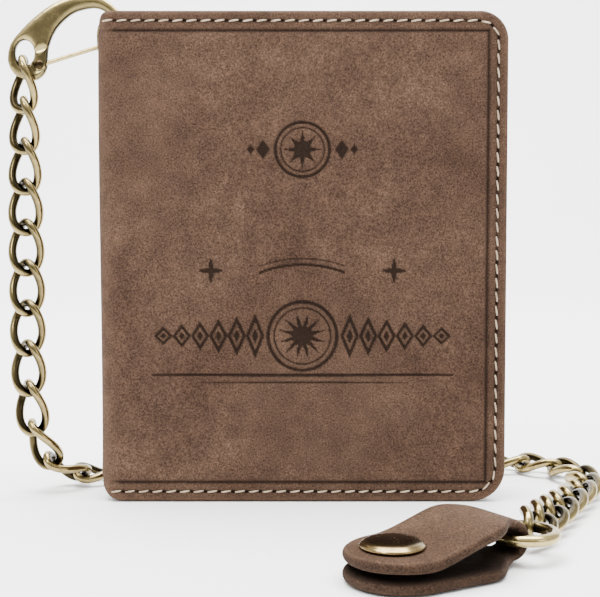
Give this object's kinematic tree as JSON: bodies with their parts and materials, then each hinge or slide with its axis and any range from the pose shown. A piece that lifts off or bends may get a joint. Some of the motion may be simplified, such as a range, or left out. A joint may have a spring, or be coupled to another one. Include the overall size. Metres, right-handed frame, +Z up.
{
  "type": "chain wallet",
  "caption": "Upright bifold leather wallet with a snap hook in its spine eyelet, a twisted curb chain and a folded belt tab closed by a press stud.",
  "frame": {"origin": "middle of the whole assembly's footprint on the surface it stands on", "axes": "+Z up, the wallet's front cover faces -Y, its spine and the hook are at -X"},
  "size_m": [0.1516, 0.118, 0.1255],
  "materials": {
    "outer_leather": "distressed brown nubuck",
    "strap_leather": "oiled brown strap leather",
    "inner_leather": "smooth dark brown",
    "lining_cloth": "woven black",
    "clear_window": "clear film",
    "antique_brass": "antique, satin",
    "chain_brass": "antique, darkened in the recesses",
    "dark_brass": "antique, dark"
  },
  "bodies": {
    "root": {"back_cover": "outer_leather", "spine_cover": "outer_leather", "back_lining": "lining_cloth", "bill_divider": "lining_cloth", "back_inner_panel": "inner_leather", "coin_pocket_panel": "inner_leather", "zip_tape": "lining_cloth", "zip_teeth": "antique_brass", "eyelet_outer": "dark_brass", "eyelet_washer": "dark_brass"},
    "front_half": {"front_cover": "outer_leather", "front_lining": "lining_cloth", "front_inner_panel": "inner_leather", "card_leaf_1": "inner_leather", "card_leaf_2": "inner_leather", "card_leaf_3": "inner_leather", "id_window": "clear_window"},
    "zip_runner": {"zip_slider": "antique_brass", "zip_pull": "antique_brass"},
    "hook": {"hook_body": "antique_brass"},
    "gate": {"hook_gate": "antique_brass"},
    "link_01": {"link_01": "chain_brass"},
    "link_02": {"link_02": "chain_brass"},
    "link_03": {"link_03": "chain_brass"},
    "link_04": {"link_04": "chain_brass"},
    "link_05": {"link_05": "chain_brass"},
    "link_06": {"link_06": "chain_brass"},
    "link_07": {"link_07": "chain_brass"},
    "link_08": {"link_08": "chain_brass"},
    "link_09": {"link_09": "chain_brass"},
    "link_10": {"link_10": "chain_brass"},
    "link_11": {"link_11": "chain_brass"},
    "link_12": {"link_12": "chain_brass"},
    "link_13": {"link_13": "chain_brass"},
    "link_14": {"link_14": "chain_brass"},
    "link_15": {"link_15": "chain_brass"},
    "link_16": {"link_16": "chain_brass"},
    "link_17": {"link_17": "chain_brass"},
    "link_18": {"link_18": "chain_brass"},
    "link_19": {"link_19": "chain_brass"},
    "link_20": {"link_20": "chain_brass"},
    "link_21": {"link_21": "chain_brass"},
    "link_22": {"link_22": "chain_brass"},
    "link_23": {"link_23": "chain_brass"},
    "link_24": {"link_24": "chain_brass"},
    "link_25": {"link_25": "chain_brass"},
    "link_26": {"link_26": "chain_brass"},
    "link_27": {"link_27": "chain_brass"},
    "link_28": {"link_28": "chain_brass"},
    "link_29": {"link_29": "chain_brass"},
    "link_30": {"link_30": "chain_brass"},
    "link_31": {"link_31": "chain_brass"},
    "link_32": {"link_32": "chain_brass"},
    "ring": {"tab_ring": "antique_brass"},
    "tab": {"tab_back_flap": "strap_leather", "snap_post": "dark_brass", "snap_stud": "antique_brass"},
    "tab_flap": {"tab_front_flap": "strap_leather", "snap_cap": "dark_brass", "snap_socket": "antique_brass"}
  },
  "joints": [
    {"name": "cover_open", "type": "hinge", "parent": "root", "child": "front_half", "pos_m": [-0.05154, 0.01969, 0.06], "axis": [0, 0, -1], "range_deg": [0, 25]},
    {"name": "coin_zip_slide", "type": "slide", "parent": "root", "child": "zip_runner", "axis": [1, 0, 0], "range_m": [0, 0.052]},
    {"name": "hook_swing", "type": "hinge", "parent": "root", "child": "hook", "pos_m": [-0.05074, 0.02744, 0.1142], "axis": [0, 0, 1], "range_deg": [0, 12]},
    {"name": "gate_open", "type": "hinge", "parent": "hook", "child": "gate", "pos_m": [-0.06724, 0.02744, 0.1082], "axis": [0, -1, 0], "range_deg": [0, 6], "stiffness_Nm_per_rad": 0.01, "springref_deg": -17.19},
    {"name": "link_01_turn", "type": "hinge", "parent": "hook", "child": "link_01", "pos_m": [-0.07144, 0.02744, 0.1085], "axis": [0, 0, 1], "range_deg": [0, 3]},
    {"name": "link_02_turn", "type": "hinge", "parent": "link_01", "child": "link_02", "pos_m": [-0.07141, 0.02744, 0.0983], "axis": [0, 0, 1], "range_deg": [0, 3]},
    {"name": "link_03_turn", "type": "hinge", "parent": "link_02", "child": "link_03", "pos_m": [-0.07137, 0.02744, 0.0881], "axis": [0, 0, 1], "range_deg": [0, 3]},
    {"name": "link_04_turn", "type": "hinge", "parent": "link_03", "child": "link_04", "pos_m": [-0.07133, 0.02744, 0.0779], "axis": [0, 0, 1], "range_deg": [0, 3]},
    {"name": "link_05_turn", "type": "hinge", "parent": "link_04", "child": "link_05", "pos_m": [-0.07127, 0.02744, 0.0677], "axis": [0, 0, 1], "range_deg": [0, 3]},
    {"name": "link_06_turn", "type": "hinge", "parent": "link_05", "child": "link_06", "pos_m": [-0.0712, 0.02744, 0.0575], "axis": [0, 0, 1], "range_deg": [0, 3]},
    {"name": "link_07_turn", "type": "hinge", "parent": "link_06", "child": "link_07", "pos_m": [-0.07112, 0.02744, 0.0473], "axis": [0, 0, 1], "range_deg": [0, 3]},
    {"name": "link_08_turn", "type": "hinge", "parent": "link_07", "child": "link_08", "pos_m": [-0.0711, 0.02738, 0.0371], "axis": [0, 0, 1], "range_deg": [0, 3]},
    {"name": "link_09_turn", "type": "hinge", "parent": "link_08", "child": "link_09", "pos_m": [-0.07093, 0.0274, 0.0269], "axis": [0, 0, 1], "range_deg": [0, 3]},
    {"name": "link_10_turn", "type": "hinge", "parent": "link_09", "child": "link_10", "pos_m": [-0.06996, 0.02779, 0.01676], "axis": [0, 0, 1], "range_deg": [0, 3]},
    {"name": "link_11_swing", "type": "hinge", "parent": "link_10", "child": "link_11", "pos_m": [-0.06628, 0.03056, 0.00766], "axis": [0, 0, 1], "range_deg": [0, 6]},
    {"name": "link_12_swing", "type": "hinge", "parent": "link_11", "child": "link_12", "pos_m": [-0.05978, 0.03702, 0.00317], "axis": [0, 0, 1], "range_deg": [0, 6]},
    {"name": "link_13_swing", "type": "hinge", "parent": "link_12", "child": "link_13", "pos_m": [-0.05148, 0.04292, 0.00264], "axis": [0, 0, 1], "range_deg": [0, 6]},
    {"name": "link_14_swing", "type": "hinge", "parent": "link_13", "child": "link_14", "pos_m": [-0.04165, 0.04564, 0.00269], "axis": [0, 0, 1], "range_deg": [0, 6]},
    {"name": "link_15_swing", "type": "hinge", "parent": "link_14", "child": "link_15", "pos_m": [-0.03151, 0.04675, 0.0027], "axis": [0, 0, 1], "range_deg": [0, 6]},
    {"name": "link_16_swing", "type": "hinge", "parent": "link_15", "child": "link_16", "pos_m": [-0.02134, 0.04757, 0.0027], "axis": [0, 0, 1], "range_deg": [0, 6]},
    {"name": "link_17_swing", "type": "hinge", "parent": "link_16", "child": "link_17", "pos_m": [-0.01116, 0.04819, 0.0027], "axis": [0, 0, 1], "range_deg": [0, 6]},
    {"name": "link_18_swing", "type": "hinge", "parent": "link_17", "child": "link_18", "pos_m": [-0.00099, 0.04899, 0.0027], "axis": [0, 0, 1], "range_deg": [0, 6]},
    {"name": "link_19_swing", "type": "hinge", "parent": "link_18", "child": "link_19", "pos_m": [0.00915, 0.05008, 0.0027], "axis": [0, 0, 1], "range_deg": [0, 6]},
    {"name": "link_20_swing", "type": "hinge", "parent": "link_19", "child": "link_20", "pos_m": [0.01928, 0.05127, 0.0027], "axis": [0, 0, 1], "range_deg": [0, 6]},
    {"name": "link_21_swing", "type": "hinge", "parent": "link_20", "child": "link_21", "pos_m": [0.02941, 0.0525, 0.0027], "axis": [0, 0, 1], "range_deg": [0, 6]},
    {"name": "link_22_swing", "type": "hinge", "parent": "link_21", "child": "link_22", "pos_m": [0.03952, 0.0538, 0.0027], "axis": [0, 0, 1], "range_deg": [0, 6]},
    {"name": "link_23_swing", "type": "hinge", "parent": "link_22", "child": "link_23", "pos_m": [0.04965, 0.05501, 0.0027], "axis": [0, 0, 1], "range_deg": [0, 6]},
    {"name": "link_24_swing", "type": "hinge", "parent": "link_23", "child": "link_24", "pos_m": [0.05977, 0.05372, 0.0027], "axis": [0, 0, 1], "range_deg": [0, 6]},
    {"name": "link_25_swing", "type": "hinge", "parent": "link_24", "child": "link_25", "pos_m": [0.06777, 0.0474, 0.00281], "axis": [0, 0, 1], "range_deg": [0, 6]},
    {"name": "link_26_lift", "type": "hinge", "parent": "link_25", "child": "link_26", "pos_m": [0.07163, 0.03795, 0.00279], "axis": [-0.9976, 0.0698, 0], "range_deg": [0, 6]},
    {"name": "link_27_swing", "type": "hinge", "parent": "link_26", "child": "link_27", "pos_m": [0.07092, 0.02778, 0.00284], "axis": [0, 0, 1], "range_deg": [0, 6]},
    {"name": "link_28_lift", "type": "hinge", "parent": "link_27", "child": "link_28", "pos_m": [0.06762, 0.01813, 0.00302], "axis": [-0.8932, 0.4496, 0], "range_deg": [0, 6]},
    {"name": "link_29_swing", "type": "hinge", "parent": "link_28", "child": "link_29", "pos_m": [0.06304, 0.00902, 0.00333], "axis": [0, 0, 1], "range_deg": [0, 6]},
    {"name": "link_30_lift", "type": "hinge", "parent": "link_29", "child": "link_30", "pos_m": [0.05856, -0.00014, 0.00372], "axis": [-0.9073, 0.4204, 0], "range_deg": [0, 6]},
    {"name": "link_31_swing", "type": "hinge", "parent": "link_30", "child": "link_31", "pos_m": [0.05428, -0.00938, 0.00417], "axis": [0, 0, 1], "range_deg": [0, 6]},
    {"name": "link_32_lift", "type": "hinge", "parent": "link_31", "child": "link_32", "pos_m": [0.04988, -0.01857, 0.00475], "axis": [-0.9006, 0.4346, 0], "range_deg": [0, 6]},
    {"name": "ring_turn", "type": "hinge", "parent": "link_32", "child": "ring", "pos_m": [0.04544, -0.02775, 0.00506], "axis": [0, 0, 1], "range_deg": [0, 10]},
    {"name": "belt_tab_lift", "type": "hinge", "parent": "ring", "child": "tab", "pos_m": [0.03788, -0.03526, 0.005], "axis": [-0.5, 0.866, 0], "range_deg": [0, 60]},
    {"name": "belt_flap_open", "type": "hinge", "parent": "tab", "child": "tab_flap", "pos_m": [0.03835, -0.03499, 0.0098], "axis": [-0.5, 0.866, 0], "range_deg": [0, 85]}
  ]
}
